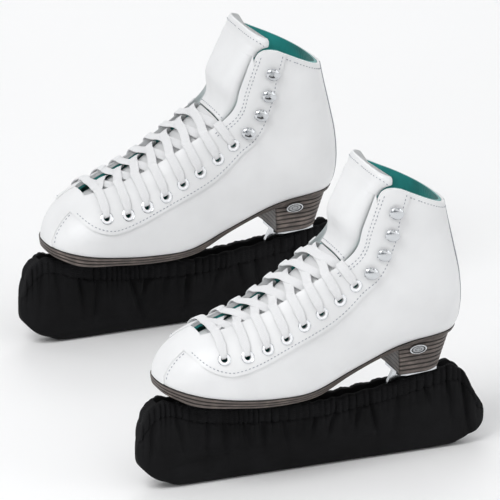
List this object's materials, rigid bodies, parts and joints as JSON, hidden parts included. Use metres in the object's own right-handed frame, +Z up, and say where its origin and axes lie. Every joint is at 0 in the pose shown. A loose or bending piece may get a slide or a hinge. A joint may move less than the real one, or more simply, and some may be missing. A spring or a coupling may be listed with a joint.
{
  "type": "pair of figure skates with blade covers",
  "caption": "Pair of white lace-up figure skates with speed hooks, stacked heels and chrome blades, standing in black cloth blade covers.",
  "frame": {"origin": "middle of the pair's footprint on the floor, under the blade covers", "axes": "+X from toe to heel, +Y across the pair from the left skate to the right, +Z up"},
  "size_m": [0.3412, 0.4342, 0.2595],
  "materials": {
    "white_leather": "smooth white leather with a soft sheen",
    "teal_lining": "brushed teal lining cloth",
    "insole_board": "plain insole board",
    "stacked_sole": "layered brown-grey sole, satin edges",
    "cotton_lace": "flat woven white lace",
    "blade_chrome": "polished chrome",
    "hook_chrome": "bright nickel",
    "badge_metal": "satin metal oval, no mark",
    "cover_cloth": "black stretch pile cloth",
    "cover_elastic": "black gathered elastic hem"
  },
  "bodies": {
    "guards": {"left_guard": "cover_cloth", "left_guard_band": "cover_elastic", "right_guard": "cover_cloth", "right_guard_band": "cover_elastic"},
    "left_skate": {"left_upper": "white_leather", "left_toe_plug": "white_leather", "left_lining": "teal_lining", "left_outer_facing": "white_leather", "left_inner_facing": "white_leather", "left_tongue_base": "white_leather", "left_backstay": "white_leather", "left_insole": "insole_board", "left_outsole": "stacked_sole", "left_heel": "stacked_sole", "left_outer_badge": "badge_metal", "left_inner_badge": "badge_metal", "left_lace": "cotton_lace", "left_outer_lace_end": "cotton_lace", "left_inner_lace_end": "cotton_lace", "left_blade": "blade_chrome", "left_sole_plate": "blade_chrome", "left_heel_plate": "blade_chrome", "left_outer_hook_1": "hook_chrome", "left_inner_hook_1": "hook_chrome", "left_outer_hook_2": "hook_chrome", "left_inner_hook_2": "hook_chrome", "left_outer_hook_3": "hook_chrome", "left_inner_hook_3": "hook_chrome", "left_outer_hook_4": "hook_chrome", "left_inner_hook_4": "hook_chrome"},
    "left_tongue": {"left_tongue": "white_leather"},
    "right_skate": {"right_upper": "white_leather", "right_toe_plug": "white_leather", "right_lining": "teal_lining", "right_outer_facing": "white_leather", "right_inner_facing": "white_leather", "right_tongue_base": "white_leather", "right_backstay": "white_leather", "right_insole": "insole_board", "right_outsole": "stacked_sole", "right_heel": "stacked_sole", "right_outer_badge": "badge_metal", "right_inner_badge": "badge_metal", "right_lace": "cotton_lace", "right_outer_lace_end": "cotton_lace", "right_inner_lace_end": "cotton_lace", "right_blade": "blade_chrome", "right_sole_plate": "blade_chrome", "right_heel_plate": "blade_chrome", "right_outer_hook_1": "hook_chrome", "right_inner_hook_1": "hook_chrome", "right_outer_hook_2": "hook_chrome", "right_inner_hook_2": "hook_chrome", "right_outer_hook_3": "hook_chrome", "right_inner_hook_3": "hook_chrome", "right_outer_hook_4": "hook_chrome", "right_inner_hook_4": "hook_chrome"},
    "right_tongue": {"right_tongue": "white_leather"}
  },
  "joints": [
    {"name": "left_guard_pull", "type": "slide", "parent": "guards", "child": "left_skate", "axis": [0, 0, 1], "range_m": [0, 0.09]},
    {"name": "left_tongue_fold", "type": "hinge", "parent": "left_skate", "child": "left_tongue", "pos_m": [-0.00095, -0.17175, 0.1855], "axis": [0, -1, 0], "range_deg": [0, 40]},
    {"name": "right_guard_pull", "type": "slide", "parent": "guards", "child": "right_skate", "axis": [0, 0, 1], "range_m": [0, 0.09]},
    {"name": "right_tongue_fold", "type": "hinge", "parent": "right_skate", "child": "right_tongue", "pos_m": [0.02855, 0.17175, 0.1855], "axis": [0, -1, 0], "range_deg": [0, 40]}
  ]
}
